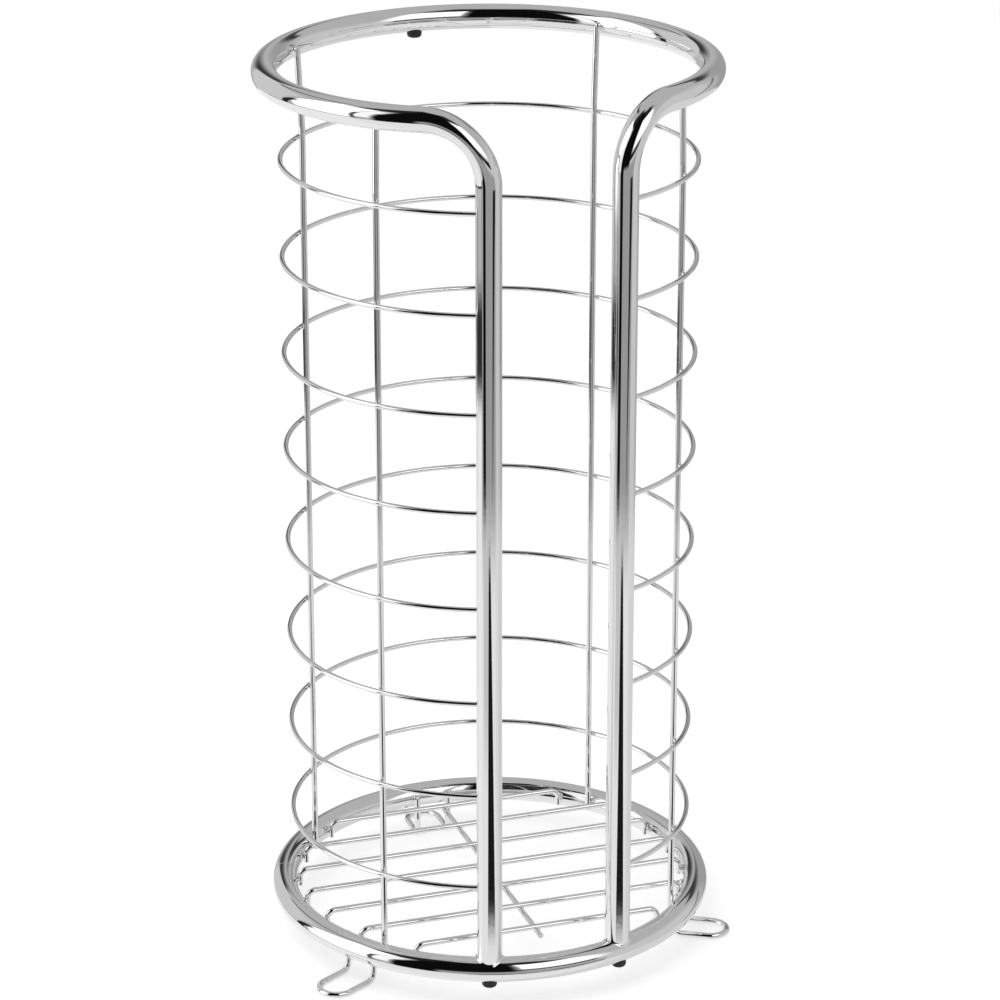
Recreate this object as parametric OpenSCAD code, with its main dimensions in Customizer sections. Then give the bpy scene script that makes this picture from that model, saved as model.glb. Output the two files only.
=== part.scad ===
// Free-standing storage holder for spare toilet rolls: a chromed wire basket, open at the top
// and down the front, with a bent-tube frame and three wire feet.
// Z is up, the open front faces -Y, and the floor is at z = 0.

/* [Frame] */
// Diameter of the bent tube and of the base ring's tube
tube_d = 10; // [8:0.5:12]
// Radius of the base ring's centre line
base_ring_r = 85; // [78:1:100]
// Height of the base ring's centre line above the floor
base_ring_z = 17; // [15:0.5:25]
// Height of the top ring's centre line above the floor
top_ring_z = 360.2; // [300:0.1:430]
// Distance between the centre lines of the two front posts
mouth_w = 53.6; // [46:0.2:66]
// How far the posts stand inside the base ring's centre line
post_inset = 1.2; // [0:0.1:2]
// Centre-line radius of the bends from the top ring down into the posts
bend_r = 24.3; // [16:0.1:28]
// How much larger the top ring's rear arc is than the base ring, in radius
top_ring_grow = 1.5; // [0:0.1:3]
// How far the centres of the top ring's tighter side arcs lie from the centre of its rear arc
side_arc_shift = 8.8; // [6:0.1:14]

/* [Hoops and uprights] */
// Number of hoops
hoop_count = 8; // [5:1:9]
// Diameter of the hoops' wire
hoop_wire_d = 2; // [1.6:0.1:3]
// Height of the lowest hoop's centre line above the base ring's
first_hoop_rise = 33.7; // [20:0.1:50]
// Height of the top ring's centre line above the highest hoop's
top_hoop_drop = 35.1; // [30:0.1:50]
// Diameter of the uprights' wire
upright_d = 2.5; // [2:0.1:3.5]
// Angle of the front uprights, from the middle of the open front
front_upright_angle = 50.8; // [40:0.1:56]
// Angle of the rear uprights, from the middle of the open front
rear_upright_angle = 129; // [115:0.5:160]
// How far the uprights' lower ends reach below the base ring's centre line
upright_drop = 1; // [0:0.1:3]
// How far the uprights' upper ends reach above the top ring's centre line
upright_rise = 1; // [0:0.1:3]
// Height of the knee in the uprights above the highest hoop
knee_rise = 4; // [3:0.5:8]
// Centre-line radius of the knee
knee_r = 25; // [10:1:40]

/* [Floor wires] */
// Number of floor wires
floor_wire_count = 7; // [3:2:7]
// Diameter of the floor wires
floor_wire_d = 2.3; // [1.8:0.1:3]
// Distance between neighbouring floor wires
floor_pitch = 20; // [14:0.5:24]
// Height of the floor wires' centre lines above the base ring's
floor_rise = 4.6; // [4:0.1:7]
// Centre-line radius of the bends at the floor wires' ends
floor_bend_r = 3.5; // [2:0.1:3.8]
// How far the floor wires' ends reach below the base ring's centre line
floor_wire_drop = 2; // [0:0.1:4]
// How far the cross wire reaches past the outer floor wires
cross_wire_tail = 4; // [2:0.5:8]

/* [Feet] */
// Diameter of the foot loops' wire
loop_wire_d = 2.5; // [2:0.1:3.5]
// Distance between the centre lines of a foot loop's two sides
loop_w = 13.9; // [10:0.1:18]
// How far a foot loop's tip reaches out past the base ring's centre line
loop_reach = 14.4; // [10:0.1:25]
// Centre-line radius of the bends between a foot loop's legs and its two sides
loop_bend_r = 3.5; // [2:0.1:5]
// How far the legs' upper ends reach above the base ring's centre line
leg_rise = 0.9; // [0:0.1:3]
// Angle of the front foot loops, from the middle of the open front
front_foot_angle = 60; // [57:0.5:75]
// Depth of the small flat where a foot loop stands on the floor
foot_flat = 0.15; // [0.05:0.05:0.4]

/* [Vent plugs] */
// Diameter of the vent holes
vent_hole_d = 3; // [2:0.1:4]
// Diameter of the plugs' heads
plug_head_d = 6; // [5:0.1:7]
// Thickness of the plugs' heads below the tube
plug_head_h = 2.3; // [1.5:0.1:3]
// Height of the plugs' straight rims, below the tube
plug_rim_h = 0.6; // [0.3:0.1:1]
// Length of the plugs' stems
plug_stem_l = 3; // [2:0.1:4]
// Clearance between a plug's stem and its vent hole, all round
plug_gap = 0.05; // [0.02:0.01:0.2]
// Angle of the top ring's vent hole, from the middle of the open front
top_vent_angle = 182; // [170:1:190]

/* [Hidden] */
$fn = 48;

// Everything inside the base ring touches this radius: the uprights, the floor wires' ends and
// the foot loops' legs from within, and the hoops from without.
weld_r = base_ring_r - tube_d / 2;
hoop_r = weld_r + hoop_wire_d / 2;
upright_r = weld_r - upright_d / 2;
leg_r = weld_r - loop_wire_d / 2;
floor_end_r = weld_r - floor_wire_d / 2;

// The posts' centres, and the angle at which they stand
post_r = base_ring_r - post_inset;
post_angle = asin(mouth_w / 2 / post_r);
post_x = post_r * sin(post_angle);
post_y = -post_r * cos(post_angle);
// Where the posts end in the cope over the base ring
post_foot_z = base_ring_z + post_inset;

// The hoops are spaced evenly between the lowest and the highest
low_hoop_z = base_ring_z + first_hoop_rise;
high_hoop_z = top_ring_z - top_hoop_drop;
hoop_pitch = (high_hoop_z - low_hoop_z) / (hoop_count - 1);

// The top ring runs in a rear arc about the axis and in two tighter side arcs, which end where the
// bends start. The bend lies in the plane of the side arc's end tangent, so a side arc's radius
// and the bend's radius make a right angle at the bend's start.
rear_arc_r = base_ring_r + top_ring_grow;
side_arc_r = rear_arc_r - side_arc_shift;
side_arc_start = post_angle + acos(
    (pow(side_arc_shift, 2) + pow(post_r, 2) - pow(side_arc_r, 2) - pow(bend_r, 2))
    / (2 * side_arc_shift * post_r));
side_arc_x = side_arc_shift * sin(side_arc_start);
side_arc_y = -side_arc_shift * cos(side_arc_start);
side_arc_end = atan2(post_x - side_arc_x, side_arc_y - post_y) + atan(bend_r / side_arc_r);

// Radius of the top ring's centre line at an angle from the middle of the front
function top_ring_r(angle) =
    angle > side_arc_start
        ? rear_arc_r
        : side_arc_shift * cos(angle - side_arc_start)
            + sqrt(pow(side_arc_r, 2) - pow(side_arc_shift * sin(angle - side_arc_start), 2));

// The uprights lean from the knee to touch the top ring's inner face
knee_z = high_hoop_z + knee_rise;
function upright_top_r(angle) = top_ring_r(angle) - tube_d / 2 - upright_d / 2;

floor_z = base_ring_z + floor_rise;
cross_wire_z = floor_z - floor_wire_d;
cross_wire_end = (floor_wire_count - 1) / 2 * floor_pitch + cross_wire_tail;

loop_z = loop_wire_d / 2 - foot_flat;
loop_tip_r = loop_w / 2;
loop_tip_centre = base_ring_r + loop_reach - loop_tip_r;
leg_u = sqrt(pow(leg_r, 2) - pow(loop_w / 2, 2));
leg_top_z = base_ring_z + leg_rise;

// Moves the cage's axis so that the origin lies below the middle of the whole object
rear_tip_r = base_ring_r + loop_reach + loop_wire_d / 2;
axis_y = (base_ring_r + tube_d / 2 - rear_tip_r) / 2;
module placed() {
    translate([0, axis_y, 0]) children();
}

// The short sleeves that close the joints between two stretches of one bent wire: their diameter
// and their length, as shares of the wire's diameter
sleeve_d_share = 1.016;
sleeve_l_share = 0.1;

// How far the vent holes' cutters start below the tube
cut_past = 1;

chrome = [0.80, 0.81, 0.83];
black_rubber = [0.05, 0.05, 0.05];

// An arc of round wire about the Z axis, between two angles from the middle of the front
module wire_arc(r, d, from, to) {
    rotate([0, 0, from - 90])
        rotate_extrude(angle = to - from)
            translate([r, 0]) circle(d = d);
}

// A sleeve along Z, a hair thicker than the wire it is on
module sleeve(d) {
    cylinder(d = sleeve_d_share * d, h = sleeve_l_share * d, center = true);
}

// A straight round wire along X, from the origin
module wire_run(length, d) {
    rotate([0, 90, 0]) cylinder(d = d, h = length);
}

// A bend in the XZ plane, from the origin along +X and then down, with a sleeve at each end
module bend_down(r, d, angle = 90) {
    rotate([0, 90, 0]) sleeve(d);
    translate([0, 0, -r]) {
        rotate([90, angle - 90, 0])
            rotate_extrude(angle = angle)
                translate([r, 0]) circle(d = d);
        rotate([0, angle, 0]) translate([0, 0, r]) rotate([0, 90, 0]) sleeve(d);
    }
}

module post(x) {
    translate([x, post_y, post_foot_z])
        cylinder(d = tube_d, h = top_ring_z - bend_r - post_foot_z);
}

// Half of the frame: a side arc, the bend down and a post
module frame_half() {
    translate([side_arc_x, side_arc_y, top_ring_z])
        wire_arc(side_arc_r, tube_d, side_arc_end, side_arc_start);
    rotate([0, 0, side_arc_start - 90])
        translate([rear_arc_r, 0, top_ring_z])
            rotate([90, 0, 0]) sleeve(tube_d);
    translate([
        side_arc_x + side_arc_r * sin(side_arc_end),
        side_arc_y - side_arc_r * cos(side_arc_end),
        top_ring_z
    ])
        rotate([0, 0, 180 + side_arc_end])
            bend_down(bend_r, tube_d);
    post(post_x);
}

module ring_tube() {
    translate([0, 0, base_ring_z]) wire_arc(base_ring_r, tube_d, 0, 360);
}

// A round hole into the underside of a ring, for the stem of a vent plug
module vent_hole(r, z, angle) {
    rotate([0, 0, angle - 90])
        translate([r, 0, z - tube_d / 2 - cut_past])
            cylinder(d = vent_hole_d, h = plug_stem_l + plug_gap + cut_past);
}

module frame_tube() {
    color(chrome)
        placed()
            difference() {
                union() {
                    translate([0, 0, top_ring_z])
                        wire_arc(rear_arc_r, tube_d, side_arc_start, 360 - side_arc_start);
                    frame_half();
                    mirror([1, 0, 0]) frame_half();
                }
                ring_tube();
                vent_hole(rear_arc_r, top_ring_z, top_vent_angle);
            }
}

module base_ring() {
    color(chrome)
        placed()
            difference() {
                ring_tube();
                for (side = [-1, 1])
                    vent_hole(base_ring_r, base_ring_z, side * post_angle);
            }
}

// One hoop, butted against the posts. The first is the highest.
module hoop(i) {
    color(chrome)
        placed()
            difference() {
                translate([0, 0, low_hoop_z + (hoop_count - i) * hoop_pitch])
                    wire_arc(hoop_r, hoop_wire_d, post_angle, 360 - post_angle);
                post(post_x);
                post(-post_x);
            }
}

// One upright: straight up to the knee, then leaning in or out to touch the top ring. The knee is
// an arc, and the leaning stretch is tangent to it.
module upright(angle) {
    low_z = base_ring_z - upright_drop;
    rise = top_ring_z + upright_rise - knee_z;
    lean = upright_top_r(abs(angle)) - upright_r;
    side = lean < 0 ? 1 : 0;
    lean_l = sqrt(pow(abs(lean) - knee_r, 2) + pow(rise, 2) - pow(knee_r, 2));
    knee_angle = atan2(lean_l, -knee_r) - atan2(rise, abs(lean) - knee_r);
    color(chrome)
        placed()
            rotate([0, 0, angle - 90])
                translate([upright_r, 0, 0]) {
                    translate([0, 0, low_z]) cylinder(d = upright_d, h = knee_z - low_z);
                    translate([0, 0, knee_z])
                        mirror([side, 0, 0])
                            rotate([0, -90, 0]) {
                                bend_down(knee_r, upright_d, knee_angle);
                                translate([0, 0, -knee_r])
                                    rotate([0, knee_angle, 0])
                                        translate([0, 0, knee_r]) wire_run(lean_l, upright_d);
                            }
                }
}

// One floor wire, with both ends turned down against the inside of the base ring
module floor_wire(i) {
    y = (i - (floor_wire_count + 1) / 2) * floor_pitch;
    end_x = sqrt(pow(floor_end_r, 2) - y * y);
    straight = end_x - floor_bend_r;
    tail = floor_rise - floor_bend_r + floor_wire_drop;
    color(chrome)
        placed()
            translate([0, y, floor_z]) {
                translate([-straight, 0, 0]) wire_run(2 * straight, floor_wire_d);
                for (side = [0, 1])
                    mirror([side, 0, 0]) {
                        translate([straight, 0, 0]) bend_down(floor_bend_r, floor_wire_d);
                        translate([end_x, 0, -floor_bend_r - tail])
                            cylinder(d = floor_wire_d, h = tail);
                    }
            }
}

module cross_wire() {
    color(chrome)
        placed()
            translate([0, -cross_wire_end, cross_wire_z])
                rotate([0, 0, 90]) wire_run(2 * cross_wire_end, floor_wire_d);
}

// A hairpin of wire: two legs inside the base ring, and a loop on the floor that runs outwards
module loop_foot(angle) {
    side_start = leg_u + loop_bend_r;
    color(chrome)
        placed()
            rotate([0, 0, angle - 90])
                difference() {
                    union() {
                        for (side = [-1, 1])
                            translate([0, side * loop_w / 2, 0]) {
                                translate([leg_u, 0, loop_z + loop_bend_r])
                                    cylinder(d = loop_wire_d, h = leg_top_z - loop_z - loop_bend_r);
                                translate([side_start, 0, loop_z])
                                    rotate([0, 0, 180])
                                        mirror([0, 0, 1]) bend_down(loop_bend_r, loop_wire_d);
                                translate([side_start, 0, loop_z])
                                    wire_run(loop_tip_centre - side_start, loop_wire_d);
                            }
                        translate([loop_tip_centre, 0, loop_z])
                            wire_arc(loop_tip_r, loop_wire_d, 0, 180);
                    }
                    translate([leg_u - loop_w, -loop_w, -loop_wire_d])
                        cube([loop_reach + 2 * loop_w, 2 * loop_w, loop_wire_d]);
                }
}

// A domed plug in a vent hole: a head that follows the tube's underside, and a stem in the hole
module vent_plug(r, z, angle) {
    head_r = plug_head_d / 2;
    dome_h = plug_head_h - plug_rim_h;
    dome_r = (pow(head_r, 2) + pow(dome_h, 2)) / (2 * dome_h);
    color(black_rubber)
        placed()
            rotate([0, 0, angle - 90]) {
                difference() {
                    translate([r, 0, z - tube_d / 2 - plug_head_h])
                        intersection() {
                            translate([0, 0, dome_r]) sphere(r = dome_r);
                            cylinder(r = head_r, h = plug_head_h + tube_d / 2);
                        }
                    translate([0, 0, z]) wire_arc(r, tube_d, 0, 360);
                }
                translate([r, 0, z - tube_d / 2 - plug_head_h / 2])
                    cylinder(r = vent_hole_d / 2 - plug_gap, h = plug_stem_l + plug_head_h / 2);
            }
}

frame_tube();
base_ring();
for (i = [1:hoop_count])
    hoop(i);
upright(-front_upright_angle);  // upright_front_left
upright(front_upright_angle);  // upright_front_right
upright(-rear_upright_angle);  // upright_rear_left
upright(rear_upright_angle);  // upright_rear_right
for (i = [1:floor_wire_count])
    floor_wire(i);
cross_wire();
loop_foot(-front_foot_angle);  // loop_foot_left
loop_foot(front_foot_angle);  // loop_foot_right
loop_foot(180);  // loop_foot_rear
vent_plug(base_ring_r, base_ring_z, -post_angle);  // vent_plug_base_left
vent_plug(base_ring_r, base_ring_z, post_angle);  // vent_plug_base_right
vent_plug(rear_arc_r, top_ring_z, top_vent_angle);  // vent_plug_top
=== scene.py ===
import math

import bmesh
import bpy
from mathutils import Matrix, Vector


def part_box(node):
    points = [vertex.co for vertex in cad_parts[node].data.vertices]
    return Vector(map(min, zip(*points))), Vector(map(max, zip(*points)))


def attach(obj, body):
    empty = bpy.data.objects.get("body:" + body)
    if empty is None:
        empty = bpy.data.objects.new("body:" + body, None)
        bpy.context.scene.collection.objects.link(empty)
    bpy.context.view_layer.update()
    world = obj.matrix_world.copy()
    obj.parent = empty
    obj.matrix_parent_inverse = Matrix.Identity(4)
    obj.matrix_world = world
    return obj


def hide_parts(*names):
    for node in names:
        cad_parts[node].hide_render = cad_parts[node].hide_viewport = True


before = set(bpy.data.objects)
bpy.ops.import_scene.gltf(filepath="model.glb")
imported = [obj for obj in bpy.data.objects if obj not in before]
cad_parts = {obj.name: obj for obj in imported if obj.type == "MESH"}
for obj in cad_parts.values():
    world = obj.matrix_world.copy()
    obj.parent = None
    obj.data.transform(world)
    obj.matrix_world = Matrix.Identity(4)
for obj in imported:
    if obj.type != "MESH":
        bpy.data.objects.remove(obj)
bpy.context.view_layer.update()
print("frame loaded:", len(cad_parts), "nodes")

up = Vector((0, 0, 1))
down = Vector((0, 0, -1))

# The base ring gives the cage's axis, its radius and the tube's diameter
ringLow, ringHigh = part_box("base_ring")
tubeWidth = ringHigh.z - ringLow.z
axisY = (ringLow.y + ringHigh.y) / 2
ringHeight = (ringLow.z + ringHigh.z) / 2
ringRadius = (ringHigh.y - ringLow.y - tubeWidth) / 2
weldRadius = ringRadius - tubeWidth / 2  # what stands inside the ring touches it here


def outward(angle):  # unit vector at an angle from the middle of the open front
    a = math.radians(angle)
    return Vector((math.sin(a), -math.cos(a), 0))


def along(angle):  # unit vector that runs round the cage at that angle
    a = math.radians(angle)
    return Vector((math.cos(a), math.sin(a), 0))


def place(angle, radius, height):
    return Vector((0, axisY, height)) + outward(angle) * radius


class Wire:  # a round section drawn along straight runs and bends
    def __init__(self, start, heading, width, sides):
        self.at = Vector(start)
        self.heading = Vector(heading).normalized()
        self.mesh = bmesh.new()
        turn = self.heading.to_track_quat("Z", "Y").to_matrix().to_4x4()
        bmesh.ops.create_circle(
            self.mesh, cap_ends=True, segments=sides, radius=width / 2,
            matrix=Matrix.Translation(self.at) @ turn)
        self.cap = list(self.mesh.faces)

    def run(self, length, steps=1):
        for _ in range(steps):
            old = self.cap
            made = bmesh.ops.extrude_face_region(self.mesh, geom=old)
            self.takeEnd(made["geom"])
            verts = [v for face in self.cap for v in face.verts]
            bmesh.ops.translate(self.mesh, verts=verts, vec=self.heading * length / steps)
            inner = [f for f in old if all(len(e.link_faces) > 2 for e in f.edges)]
            bmesh.ops.delete(self.mesh, geom=inner, context="FACES_ONLY")
        self.at += self.heading * length
        return self

    def bend(self, radius, towards, angle, steps):
        towards = Vector(towards).normalized()
        centre = self.at + towards * radius
        axis = self.heading.cross(towards).normalized()
        geom = self.cap + [v for f in self.cap for v in f.verts] + [e for f in self.cap for e in f.edges]
        made = bmesh.ops.spin(
            self.mesh, geom=geom, cent=centre, axis=axis, angle=math.radians(angle),
            steps=steps, dvec=(0, 0, 0), use_duplicate=False)
        self.takeEnd(made["geom_last"])
        turn = Matrix.Rotation(math.radians(angle), 3, axis)
        self.at = centre + turn @ (self.at - centre)
        self.heading = turn @ self.heading
        return self

    def takeEnd(self, geom):
        self.cap = [g for g in geom if isinstance(g, bmesh.types.BMFace)]


def closedRing(centre, radius, width, steps, sides):
    mesh = bmesh.new()
    start = Matrix.Translation(centre + Vector((radius, 0, 0))) @ Matrix.Rotation(math.pi / 2, 4, "X")
    bmesh.ops.create_circle(mesh, cap_ends=False, segments=sides, radius=width / 2, matrix=start)
    bmesh.ops.spin(
        mesh, geom=mesh.verts[:] + mesh.edges[:], cent=centre, axis=up, angle=math.tau,
        steps=steps, dvec=(0, 0, 0), use_merge=True, use_duplicate=False)
    return mesh


def addNub(mesh, centre, size, heading=up):  # a small blob of weld metal
    turn = Vector(heading).to_track_quat("Z", "Y").to_matrix().to_4x4()
    matrix = Matrix.Translation(centre) @ turn @ Matrix.Diagonal((*size, 1))
    bmesh.ops.create_icosphere(mesh, subdivisions=3, radius=0.5, matrix=matrix)


finishSettings = {
    "mergeDistance": 1e-7,
    "sharpAngle": 40,
}


def finishPiece(mesh, name, material, nodes):
    bmesh.ops.remove_doubles(mesh, verts=mesh.verts, dist=finishSettings["mergeDistance"])
    bmesh.ops.recalc_face_normals(mesh, faces=mesh.faces)
    data = bpy.data.meshes.new(name)
    mesh.to_mesh(data)
    mesh.free()
    data.shade_smooth()
    data.set_sharp_from_angle(angle=math.radians(finishSettings["sharpAngle"]))
    data.materials.append(material)
    piece = bpy.data.objects.new(name, data)
    bpy.context.scene.collection.objects.link(piece)
    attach(piece, "root")
    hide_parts(*nodes)
    return piece


# Shader maths as Python expressions
class Maths:
    def __init__(self, shader, socket):
        self.shader = shader
        self.socket = socket

    def combine(self, operation, *others):
        return self.shader.node("ShaderNodeMath", {"operation": operation}, [self, *others])[0]

    def __add__(self, other):
        return self.combine("ADD", other)

    def __sub__(self, other):
        return self.combine("SUBTRACT", other)

    def __rsub__(self, other):
        return self.shader.node("ShaderNodeMath", {"operation": "SUBTRACT"}, [other, self])[0]

    def __mul__(self, other):
        return self.combine("MULTIPLY", other)

    __radd__ = __add__
    __rmul__ = __mul__

    def rise(self, edge, soft):  # from 0 to 1 across an edge
        settings = {"interpolation_type": "SMOOTHSTEP", "clamp": True}
        start, end = edge - soft / 2, edge + soft / 2
        return self.shader.node("ShaderNodeMapRange", settings, [self, start, end, 0, 1])[0]


class Shader:
    def __init__(self, owner):
        owner.use_nodes = True
        self.tree = owner.node_tree
        self.tree.nodes.clear()

    def node(self, kind, settings=None, inputs=None):
        made = self.tree.nodes.new(kind)
        for key, value in (settings or {}).items():
            setattr(made, key, value)
        pairs = inputs.items() if isinstance(inputs, dict) else enumerate(inputs or [])
        for key, value in pairs:
            if isinstance(value, Maths):
                self.tree.links.new(value.socket, made.inputs[key])
            else:
                made.inputs[key].default_value = value
        return [Maths(self, socket) for socket in made.outputs]


chromeLook = {
    "colour": (0.87, 0.87, 0.87, 1),
    "roughness": 0.026,
    "cloud": 0.016,  # how much the plating's gloss varies
    "cloudScale": 70,
    "cloudDetail": 3.0,
    "ripple": 0.012,
    "rippleScale": 220,
    "rippleDetail": 2.0,
    "rippleDepth": 0.0002,
}
wireLook = {**chromeLook, "roughness": 0.034}  # drawn wire is a little duller than the tube


def chromeMaterial(name, look):
    material = bpy.data.materials.new(name)
    s = Shader(material)
    where = s.node("ShaderNodeTexCoord")[3]
    cloud = s.node("ShaderNodeTexNoise", {}, {
        "Vector": where, "Scale": look["cloudScale"], "Detail": look["cloudDetail"]})[0]
    ripple = s.node("ShaderNodeTexNoise", {}, {
        "Vector": where, "Scale": look["rippleScale"], "Detail": look["rippleDetail"]})[0]
    bump = s.node("ShaderNodeBump", {}, {
        "Strength": look["ripple"], "Distance": look["rippleDepth"], "Height": ripple})[0]
    roughness = look["roughness"] + look["cloud"] * (cloud - 0.5)
    shine = s.node("ShaderNodeBsdfPrincipled", {}, {
        "Base Color": look["colour"], "Metallic": 1.0, "Roughness": roughness, "Normal": bump})[0]
    s.node("ShaderNodeOutputMaterial", {}, [shine])
    return material


rubberLook = {
    "colour": (0.012, 0.012, 0.013, 1),
    "roughness": 0.55,
    "uneven": 0.15,  # how much the roughness follows the grain
    "grain": 0.25,
    "grainScale": 900,
    "grainDetail": 4.0,
    "grainDepth": 0.0002,
}


def rubberMaterial(name, look):
    material = bpy.data.materials.new(name)
    s = Shader(material)
    where = s.node("ShaderNodeTexCoord")[3]
    grain = s.node("ShaderNodeTexNoise", {}, {
        "Vector": where, "Scale": look["grainScale"], "Detail": look["grainDetail"]})[0]
    bump = s.node("ShaderNodeBump", {}, {
        "Strength": look["grain"], "Distance": look["grainDepth"], "Height": grain})[0]
    roughness = look["roughness"] + look["uneven"] * (grain - 0.5)
    skin = s.node("ShaderNodeBsdfPrincipled", {}, {
        "Base Color": look["colour"], "Roughness": roughness, "Normal": bump})[0]
    s.node("ShaderNodeOutputMaterial", {}, [skin])
    return material


tubeChrome = chromeMaterial("tubeChrome", chromeLook)
wireChrome = chromeMaterial("wireChrome", wireLook)
blackRubber = rubberMaterial("blackRubber", rubberLook)
print("materials made")

# Frame tube: a post, a tight bend, the top ring, a bend and a post, from one length of tube
frameSettings = {
    "mouthWidth": 0.0536,  # between the posts' centre lines
    "postInset": 0.0012,
    "bendRadius": 0.0243,
    "sideArcShift": 0.0088,
    "flatten": 0.11,  # how much a bend squeezes the tube in the bend's plane
    "flattenReach": 0.6,  # in tube widths from the bend's centre line
    "sides": 64,
    "postSteps": 12,
    "bendSteps": 40,
    "sideSteps": 64,
    "rearSteps": 190,
}
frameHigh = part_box("frame_tube")[1]
rearArcRadius = frameHigh.y - axisY - tubeWidth / 2
topHeight = frameHigh.z - tubeWidth / 2
postRadius = ringRadius - frameSettings["postInset"]
postAngle = math.degrees(math.asin(frameSettings["mouthWidth"] / 2 / postRadius))
postHeight = topHeight - frameSettings["bendRadius"]


def topRingPlan(settings):  # where the side arcs begin and end, and their centre
    shift, bend = settings["sideArcShift"], settings["bendRadius"]
    sideRadius = rearArcRadius - shift
    cosine = (shift ** 2 + postRadius ** 2 - sideRadius ** 2 - bend ** 2) / (2 * shift * postRadius)
    start = postAngle + math.degrees(math.acos(cosine))
    centre = place(start, shift, topHeight)
    post = place(postAngle, postRadius, topHeight)
    end = math.degrees(math.atan2(post.x - centre.x, centre.y - post.y) + math.atan(bend / sideRadius))
    return sideRadius, start, centre, end


sideRadius, sideStart, sideCentre, sideEnd = topRingPlan(frameSettings)


def squeezeBend(mesh, centre, towards, settings):  # a bend is a little flatter than the tube
    bendRadius = settings["bendRadius"]
    side = towards.cross(up)
    for vert in mesh.verts:
        offset = vert.co - centre
        across = offset.dot(side)
        reach = Vector((offset.dot(towards), offset.z))
        if reach.x <= 0 or reach.y <= 0 or abs(across) > tubeWidth:
            continue
        if abs(reach.length - bendRadius) > settings["flattenReach"] * tubeWidth:
            continue
        share = math.sin(2 * math.atan2(reach.x, reach.y)) ** 2 * settings["flatten"]
        reach *= 1 - share * (1 - bendRadius / reach.length)
        vert.co = centre + towards * reach.x + up * reach.y + side * across * (1 + share / 2)


def makeFrameTube(settings):
    bend, bendSteps, sideSteps = settings["bendRadius"], settings["bendSteps"], settings["sideSteps"]
    foot = place(-postAngle, postRadius, ringHeight)
    tube = Wire(foot, up, tubeWidth, settings["sides"])
    tube.run(postHeight - ringHeight, settings["postSteps"])
    tube.bend(bend, -along(-sideEnd), 90, bendSteps)
    towards = Vector((-sideCentre.x, sideCentre.y, topHeight)) - tube.at
    tube.bend(sideRadius, towards, sideStart - sideEnd, sideSteps)
    towards = Vector((0, axisY, topHeight)) - tube.at
    tube.bend(rearArcRadius, towards, 360 - 2 * sideStart, settings["rearSteps"])
    tube.bend(sideRadius, sideCentre - tube.at, sideStart - sideEnd, sideSteps)
    tube.bend(bend, down, 90, bendSteps)
    tube.run(postHeight - ringHeight, settings["postSteps"])
    for way in (-1, 1):
        centre = Vector((way * sideCentre.x, sideCentre.y, postHeight)) + outward(way * sideEnd) * sideRadius
        towards = (place(way * postAngle, postRadius, postHeight) - centre).normalized()
        squeezeBend(tube.mesh, centre, towards, settings)
    return tube.mesh


weldSettings = {
    # the weld's section: distance from the post's wall, and height above the base ring's surface
    "section": [
        (-0.0004, 0.0006), (0.0001, 0.0006), (0.0002, 0.0003),
        (0.0004, 0.0001), (0.0007, -0.0002), (-0.0004, -0.0010)],
    "steps": 72,
    # lumps in the weld: degrees round the post from its outer side, and size
    "lumps": [
        (76, 0.0013), (90, 0.0019), (104, 0.0015), (122, 0.0018),
        (-80, 0.0016), (-96, 0.0020), (-115, 0.0014)],
    "lumpShape": (1, 0.7, 0.9),
    "ringShare": 0.985,  # the part of the base ring's half width that the weld follows
}


def ringTop(point):  # height of the base ring's surface above its centre line
    half = tubeWidth / 2
    offset = abs(math.hypot(point.x, point.y - axisY) - ringRadius)
    offset = min(offset, half * weldSettings["ringShare"])
    return math.sqrt(half ** 2 - offset ** 2)


def addPostWeld(mesh, angle, settings):
    post = place(angle, postRadius, ringHeight)
    half = tubeWidth / 2
    corners = [mesh.verts.new(post + Vector((half + out, 0, rise))) for out, rise in settings["section"]]
    edges = [mesh.edges.new((corners[i - 1], corners[i])) for i in range(len(corners))]
    bmesh.ops.spin(
        mesh, geom=corners + edges, cent=post, axis=up, angle=math.tau, steps=settings["steps"],
        dvec=(0, 0, 0), use_merge=True, use_duplicate=False)
    weld, todo = set(corners), list(corners)  # the spun weld is what hangs together with its section
    while todo:
        for edge in todo.pop().link_edges:
            for vert in edge.verts:
                if vert not in weld:
                    weld.add(vert)
                    todo.append(vert)
    for vert in weld:
        vert.co.z += ringTop(vert.co)
    for turn, size in settings["lumps"]:
        spot = post + outward(angle + turn * (1 if angle < 0 else -1)) * half
        spot.z += ringTop(spot)
        addNub(mesh, spot, [size * part for part in settings["lumpShape"]])


frameMesh = makeFrameTube(frameSettings)
for way in (-1, 1):
    addPostWeld(frameMesh, way * postAngle, weldSettings)
finishPiece(frameMesh, "bentTubeFrame", tubeChrome, ["frame_tube"])

# Base ring, with the faint line of the weld that closes it
ringSettings = {
    "sides": 64,
    "steps": 360,
    "seamAngle": -109,
    "seamWidth": 0.0007,
    "seamRise": 0.00005,
    "seamRounding": 0.9,  # share of the rise
    "seamSides": 48,
}


def addSeam(mesh, settings):
    radius = tubeWidth / 2 + settings["seamRise"]
    turn = along(settings["seamAngle"]).to_track_quat("Z", "Y").to_matrix().to_4x4()
    matrix = Matrix.Translation(place(settings["seamAngle"], ringRadius, ringHeight)) @ turn
    bmesh.ops.create_cone(
        mesh, cap_ends=True, segments=settings["seamSides"], radius1=radius, radius2=radius,
        depth=settings["seamWidth"], matrix=matrix)
    rims = [e for e in mesh.edges if any(len(f.verts) > 4 for f in e.link_faces)]
    bmesh.ops.bevel(
        mesh, geom=rims, offset=settings["seamRise"] * settings["seamRounding"], segments=2, profile=0.5,
        affect="EDGES", material=-1, offset_type="OFFSET")


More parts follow.
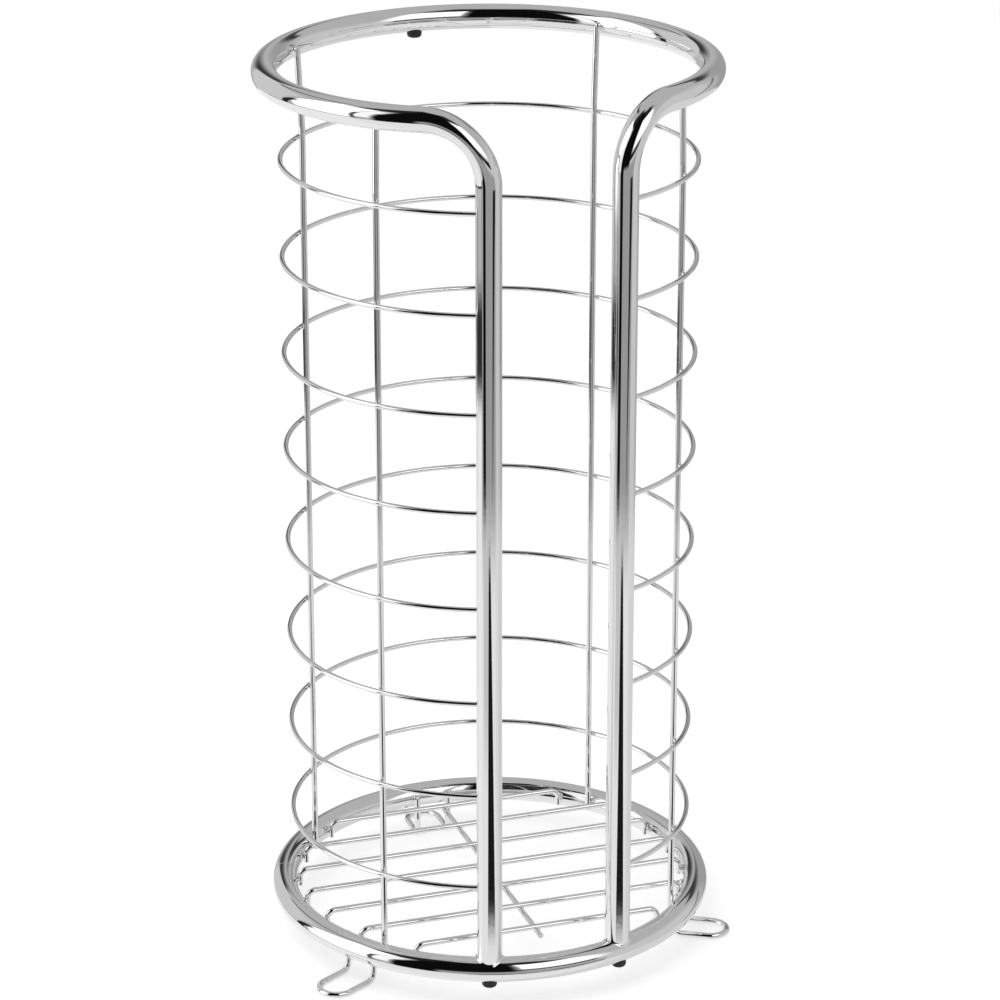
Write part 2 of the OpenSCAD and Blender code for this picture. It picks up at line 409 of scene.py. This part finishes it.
ringCentre = Vector((0, axisY, ringHeight))
ringMesh = closedRing(ringCentre, ringRadius, tubeWidth, ringSettings["steps"], ringSettings["sides"])
addSeam(ringMesh, ringSettings)
finishPiece(ringMesh, "baseRing", tubeChrome, ["base_ring"])
print("frame and base ring made")

# Uprights
uprightSettings = {
    "frontAngle": 50.8,
    "rearAngle": 129.0,
    "width": 0.0025,
    "kneeRise": 0.004,  # above the highest hoop
    "kneeRadius": 0.025,
    "nub": (0.0026, 0.0022, 0.003),
    "sides": 20,
    "steps": 6,
    "kneeSteps": 4,
}
hoopCount = len([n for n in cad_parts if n.startswith("hoop_")])


def hoopAt(i):  # a hoop's height and the width of its wire
    low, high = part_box(f"hoop_{i}")
    return (low.z + high.z) / 2, high.z - low.z


def topRingRadius(angle):
    a = math.radians(abs(angle) - sideStart)
    if a > 0:
        return rearArcRadius
    shift = frameSettings["sideArcShift"]
    return shift * math.cos(a) + math.sqrt(sideRadius ** 2 - (shift * math.sin(a)) ** 2)


def makeUpright(node, angle, settings):
    low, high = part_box(node)
    width = settings["width"]
    radius = weldRadius - width / 2
    kneeHeight = hoopAt(1)[0] + settings["kneeRise"]
    lean = topRingRadius(angle) - tubeWidth / 2 - width / 2 - radius
    rise = high.z - kneeHeight
    knee = settings["kneeRadius"]
    leanLength = math.sqrt((abs(lean) - knee) ** 2 + rise ** 2 - knee ** 2)
    kneeAngle = math.degrees(math.atan2(leanLength, -knee) - math.atan2(rise, abs(lean) - knee))
    wire = Wire(place(angle, radius, low.z), up, width, settings["sides"])
    wire.run(kneeHeight - low.z, settings["steps"])
    wire.bend(knee, outward(angle) * (1 if lean > 0 else -1), kneeAngle, settings["kneeSteps"])
    wire.run(leanLength - width / 4)
    mesh = wire.mesh
    addNub(mesh, place(angle, topRingRadius(angle) - tubeWidth / 2, topHeight), settings["nub"])
    addNub(mesh, place(angle, weldRadius, ringHeight), settings["nub"])
    return mesh


uprights = {
    "upright_front_left": -uprightSettings["frontAngle"],
    "upright_front_right": uprightSettings["frontAngle"],
    "upright_rear_left": -uprightSettings["rearAngle"],
    "upright_rear_right": uprightSettings["rearAngle"],
}
for node, angle in uprights.items():
    upright = makeUpright(node, angle, uprightSettings)
    finishPiece(upright, node + "_wire", wireChrome, [node])
print("uprights made")

# Hoops, with the small nubs where they are welded to the uprights and the posts
hoopSettings = {
    "tuck": 0.6,  # degrees by which each end runs into its post
    "nub": (0.0020, 0.0020, 0.0017),
    "endNub": (0.0032, 0.0032, 0.0030),
    "sides": 18,
    "steps": 220,
}


def makeHoop(i, settings):
    height, width = hoopAt(i)
    radius = weldRadius + width / 2
    reach = math.acos((radius ** 2 + postRadius ** 2 - (tubeWidth / 2) ** 2) / (2 * radius * postRadius))
    start = postAngle + math.degrees(reach) - settings["tuck"]
    wire = Wire(place(-start, radius, height), -along(-start), width, settings["sides"])
    wire.bend(radius, Vector((0, axisY, height)) - wire.at, 360 - 2 * start, settings["steps"])
    mesh = wire.mesh
    for angle in uprights.values():
        addNub(mesh, place(angle, weldRadius, height), settings["nub"])
    for way in (-1, 1):
        addNub(mesh, place(way * (start + settings["tuck"] / 2), radius, height), settings["endNub"])
    return mesh


for i in range(1, hoopCount + 1):
    finishPiece(makeHoop(i, hoopSettings), f"hoop_{i}_wire", wireChrome, [f"hoop_{i}"])
print("hoops made")

# Floor wires, with their ends turned down and welded inside the base ring
floorSettings = {
    "bendRadius": 0.0035,
    "nub": (0.0030, 0.0030, 0.0036),
    "nubInset": 0.0004,
    "crossNub": (0.0024, 0.0024, 0.0016),
    "sides": 18,
    "bendSteps": 10,
    "steps": 6,
    "crossSteps": 8,
}
floorNodes = sorted(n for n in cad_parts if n.startswith("floor_wire_"))


def makeFloorWire(node, settings):
    low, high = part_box(node)
    width = high.y - low.y
    y, z = (low.y + high.y) / 2, high.z - width / 2
    bend = settings["bendRadius"]
    endX = high.x - width / 2
    tail = z - bend - low.z
    wire = Wire((-endX, y, low.z), up, width, settings["sides"])
    wire.run(tail)
    wire.bend(bend, (1, 0, 0), 90, settings["bendSteps"])
    wire.run(2 * (endX - bend), settings["steps"])
    wire.bend(bend, down, 90, settings["bendSteps"])
    wire.run(tail)
    mesh = wire.mesh
    for way in (-1, 1):
        side = Vector((way * endX, y - axisY, 0)).normalized()
        addNub(mesh, ringCentre + side * (weldRadius - settings["nubInset"]), settings["nub"])
    addNub(mesh, (0, y, z - width / 2), settings["crossNub"])
    return mesh


for node in floorNodes:
    finishPiece(makeFloorWire(node, floorSettings), node + "_bar", wireChrome, [node])


def makeCrossWire(settings):
    low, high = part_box("cross_wire")
    width = high.x - low.x
    wire = Wire((0, low.y, (low.z + high.z) / 2), (0, 1, 0), width, settings["sides"])
    wire.run(high.y - low.y, settings["crossSteps"])
    return wire.mesh


finishPiece(makeCrossWire(floorSettings), "cross_wire_bar", wireChrome, ["cross_wire"])
print("floor made")

# Foot loops: hairpins that stand on the floor
footSettings = {
    "width": 0.0025,
    "gap": 0.0139,  # between the two sides' centre lines
    "reach": 0.0144,  # of the tip's centre line past the base ring's
    "bendRadius": 0.0035,
    "flat": 0.00015,  # where a foot bears on the floor
    "legRise": 0.0009,
    "nub": (0.0032, 0.0032, 0.0042),
    "sides": 20,
    "steps": 2,
    "bendSteps": 10,
    "tipSteps": 28,
}
feet = {"loop_foot_left": -60, "loop_foot_right": 60, "loop_foot_rear": 180}


def makeFoot(angle, settings):
    width, gap, bend = settings["width"], settings["gap"], settings["bendRadius"]
    legRadius = weldRadius - width / 2
    inner = math.sqrt(legRadius ** 2 - (gap / 2) ** 2)
    z = width / 2 - settings["flat"]
    out, side = outward(angle), along(angle)
    axis = Vector((0, axisY, 0))
    top = ringHeight + settings["legRise"]
    tip = ringRadius + settings["reach"] - gap / 2
    wire = Wire(axis + out * inner - side * gap / 2 + up * top, down, width, settings["sides"])
    steps, bendSteps = settings["steps"], settings["bendSteps"]
    wire.run(top - z - bend, steps)
    wire.bend(bend, out, 90, bendSteps)
    wire.run(tip - inner - bend, steps)
    wire.bend(gap / 2, side, 180, settings["tipSteps"])
    wire.run(tip - inner - bend, steps)
    wire.bend(bend, up, 90, bendSteps)
    wire.run(top - z - bend, steps)
    mesh = wire.mesh
    for vert in mesh.verts:
        vert.co.z = max(vert.co.z, 0)
    for way in (-1, 1):
        leg = out * inner + side * way * gap / 2
        addNub(mesh, ringCentre + leg + leg.normalized() * width / 2, settings["nub"])
    return mesh


for node, angle in feet.items():
    finishPiece(makeFoot(angle, footSettings), node + "_wire", wireChrome, [node])
print("feet made")

# Vent plugs
plugSettings = {
    "width": 0.006,
    "height": 0.0023,
    "sunk": 0.0012,  # how far the head reaches into the tube's wall
    "rounding": 0.6,  # share of the height
    "roundSteps": 8,
    "topAngle": 182.0,
    "sides": 40,
}


def makePlug(node, angle, radius, settings):
    mesh = bmesh.new()
    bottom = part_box(node)[0].z
    height = settings["height"] + settings["sunk"]
    centre = place(angle, radius, bottom + height / 2)
    bmesh.ops.create_cone(
        mesh, cap_ends=True, segments=settings["sides"], radius1=settings["width"] / 2,
        radius2=settings["width"] / 2, depth=height, matrix=Matrix.Translation(centre))
    rim = [e for e in mesh.edges if all(v.co.z < centre.z for v in e.verts)]
    bmesh.ops.bevel(
        mesh, geom=rim, offset=settings["height"] * settings["rounding"], segments=settings["roundSteps"],
        profile=0.5, affect="EDGES", material=-1, offset_type="OFFSET")
    return mesh


plugs = {
    "vent_plug_base_left": (-postAngle, ringRadius),
    "vent_plug_base_right": (postAngle, ringRadius),
    "vent_plug_top": (plugSettings["topAngle"], rearArcRadius),
}
for node, (angle, radius) in plugs.items():
    plug = makePlug(node, angle, radius, plugSettings)
    finishPiece(plug, node + "_rubber", blackRubber, [node])
print("plugs made")

# Studio: the camera, a pale floor, what the chrome mirrors and a soft key light
cameraSettings = {
    "azimuth": -18.5,
    "distance": 1.4177,
    "height": 0.7114,
    "pitch": 20.441,
    "yaw": -0.1675,
    "focal": 136.0,
    "sensor": 36,
    "near": 0.05,
    "far": 50,
}


def makeCamera(settings):
    data = bpy.data.cameras.new("camera")
    data.sensor_width = settings["sensor"]
    data.lens = settings["focal"]
    data.clip_start, data.clip_end = settings["near"], settings["far"]
    camera = bpy.data.objects.new("camera", data)
    bpy.context.scene.collection.objects.link(camera)
    camera.location = place(settings["azimuth"], settings["distance"], settings["height"])
    turn = math.radians(settings["azimuth"] + settings["yaw"])
    camera.rotation_euler = (math.radians(90 - settings["pitch"]), 0, turn)
    bpy.context.scene.camera = camera


makeCamera(cameraSettings)


floorLook = {
    "size": 3,  # from the middle to an edge
    "colour": (0.8, 0.8, 0.8, 1),
    "glow": 0.47,  # what the camera sees on top of the lit floor, so that it comes out white
}


def makeFloor(look):
    mesh = bmesh.new()
    bmesh.ops.create_grid(mesh, x_segments=1, y_segments=1, size=look["size"])
    data = bpy.data.meshes.new("floor")
    mesh.to_mesh(data)
    mesh.free()
    floor = bpy.data.objects.new("floor", data)
    bpy.context.scene.collection.objects.link(floor)
    floor.visible_glossy = False
    material = bpy.data.materials.new("paleFloor")
    s = Shader(material)
    rays = s.node("ShaderNodeLightPath")
    matte = s.node("ShaderNodeBsdfDiffuse", {}, {"Color": look["colour"]})[0]
    glow = s.node("ShaderNodeEmission", {}, {"Color": (1, 1, 1, 1), "Strength": look["glow"]})[0]
    seen = s.node("ShaderNodeAddShader", {}, [matte, glow])[0]
    mixed = s.node("ShaderNodeMixShader", {}, [rays[0], matte, seen])[0]
    s.node("ShaderNodeOutputMaterial", {}, [mixed])
    data.materials.append(material)


makeFloor(floorLook)

# What the chrome mirrors: panels and flags round the table, where a later one hides those before it.
# Across is from left to right, in degrees from the camera's side of the room, and up is from low to
# high. Soft is how wide the left, right, lower and upper edges fade, and lean is how many degrees the
# left and right edges shift for each degree above the lower edge.
roomSettings = {
    "fill": 0.62,  # the even light on everything that is not a mirror
    "backdrop": 1.0,
    "walls": 0.48,  # what is mirrored where no panel stands
    "panels": [
        {"name": "rear wall, left", "across": (-156, -110), "up": (-20, 34), "soft": (6, 6, 8, 8), "level": 0.64},
        {"name": "rear flag, left", "across": (-172, -156), "up": (4, 29), "soft": (20, 4, 20, 4), "level": 0.04},
        {"name": "wall, right", "across": (20, 128), "up": (-40, 24), "soft": (10, 14, 1, 24), "level": 0.62},
        {"name": "rear wall, right", "across": (142, 172), "up": (-22, 31), "soft": (10, 16, 6, 4), "level": 0.36},
        {"name": "rear flag, right", "across": (140, 176), "up": (24, 31), "soft": (8, 8, 8, 3), "level": 0.05},
        {"name": "boom", "across": (-153, -147), "up": (30, 58), "soft": (3, 3, 3, 5), "level": 0.04,
         "lean": (1.2, 1.2)},
        {"name": "stand, right", "across": (115.5, 119.5), "up": (-22, 12), "soft": (3, 3, 3, 8), "level": 0.20,
         "lean": (0.6, 0.6)},
        {"name": "ceiling", "across": (-95, 62), "up": (54, 80), "soft": (24, 30, 5, 6), "level": 0.02},
        {"name": "left softbox", "across": (-104, -63), "up": (-15.5, 53), "soft": (2, 2, 2, 3), "level": 1.5},
        {"name": "left softbox's rim", "across": (-117, -111), "up": (-18, 14), "soft": (2, 2, 2, 6), "level": 0.02,
         "lean": (0.35, 0.35)},
        {"name": "left window", "across": (-61, -48), "up": (-6, 48), "soft": (2, 2, 5, 5), "level": 1.1},
        {"name": "left stand", "across": (-64, -61), "up": (-22, 25), "soft": (2, 2, 6, 6), "level": 0.10},
        {"name": "floor in front", "across": (-30, 60), "up": (-60, -1), "soft": (4, 4, 8, 8), "level": 0.345},
        {"name": "camera side", "across": (-50, 14), "up": (-2, 77), "soft": (7, 7, 8, 6), "level": 0.004},
        {"name": "left flag", "across": (-51, -26), "up": (-60, 30), "soft": (6, 6, 4, 4), "level": 0.004},
        {"name": "right softbox", "across": (16, 62), "up": (17, 58), "soft": (3, 14, 4, 4), "level": 1.35},
        {"name": "right softbox's rim", "across": (10, 55), "up": (4, 12), "soft": (4, 4, 1.5, 1.5), "level": 0.01},
        {"name": "right flag", "across": (29, 33), "up": (-20.5, -14.5), "soft": (3, 3, 3, 2), "level": 0.01,
         "lean": (1.0, 4.6)},
        {"name": "gap over the table", "across": (-134, -58), "up": (-26, -17.3), "soft": (8, 8, 0.8, 0.8),
         "level": 0.03},
        {"name": "table, left", "across": (-181, -62), "up": (-95, -18.9), "soft": (10, 10, 1, 0.8), "level": 0.92},
        {"name": "table", "across": (-70, 181), "up": (-95, -21.1), "soft": (8, 1, 1, 2.2), "level": 0.86},
        {"name": "table, right", "across": (70, 181), "up": (-95, -21.1), "soft": (50, 1, 1, 2.2), "level": 0.72},
        {"name": "table's front", "across": (-50, -4), "up": (-24.2, -20.9), "soft": (4, 4, 2, 1), "level": 0.60},
        {"name": "gap before the table", "across": (-14, 54), "up": (-26.9, -21.3), "soft": (4, 4, 0.8, 0.9),
         "level": 0.01, "lean": (1.8, -7.5)},
    ],
}


def makeWorld(settings):
    world = bpy.data.worlds.new("studio")
    bpy.context.scene.world = world
    s = Shader(world)
    rays = s.node("ShaderNodeLightPath")
    x, y, z = s.node("ShaderNodeSeparateXYZ", {}, [s.node("ShaderNodeTexCoord")[0]])
    degree = 180 / math.pi
    turn = math.radians(cameraSettings["azimuth"])
    front = math.sin(turn) * x - math.cos(turn) * y
    right = math.cos(turn) * x + math.sin(turn) * y
    azimuth = right.combine("ARCTAN2", front) * degree
    elevation = z.combine("ARCSINE") * degree
    level = settings["walls"]
    for panel in settings["panels"]:
        left, end = panel["across"]
        low, high = panel["up"]
        soft = panel["soft"]
        lean = panel.get("lean", (0, 0))
        height = elevation - low
        inside = (azimuth - lean[0] * height).rise(left, soft[0])
        inside = inside * (1 - (azimuth - lean[1] * height).rise(end, soft[1]))
        inside = inside * elevation.rise(low, soft[2]) * (1 - elevation.rise(high, soft[3]))
        level = inside * panel["level"] + (1 - inside) * level
    room = s.node("ShaderNodeBackground", {}, {"Color": (1, 1, 1, 1), "Strength": level})[0]
    plain = s.node("ShaderNodeBackground", {}, {"Color": (1, 1, 1, 1), "Strength": settings["fill"]})[0]
    white = s.node("ShaderNodeBackground", {}, {"Color": (1, 1, 1, 1), "Strength": settings["backdrop"]})[0]
    mixed = s.node("ShaderNodeMixShader", {}, [rays[3], plain, room])[0]
    mixed = s.node("ShaderNodeMixShader", {}, [rays[0], mixed, white])[0]
    s.node("ShaderNodeOutputWorld", {}, [mixed])


makeWorld(roomSettings)


keySettings = {
    "size": 1.2,
    "energy": 8,
    "at": (-0.7, -0.5, 1.6),
    "aim": (0, 0, 0.1),
}


def makeLight(settings):
    data = bpy.data.lights.new("key", "AREA")
    data.shape, data.size, data.size_y = "RECTANGLE", settings["size"], settings["size"]
    data.energy = settings["energy"]
    light = bpy.data.objects.new("key", data)
    bpy.context.scene.collection.objects.link(light)
    light.location = settings["at"]
    heading = Vector(settings["aim"]) - light.location
    light.rotation_euler = heading.to_track_quat("-Z", "Y").to_euler()
    light.visible_glossy = False


makeLight(keySettings)
bpy.context.scene.view_settings.view_transform = "Standard"
print("studio made")
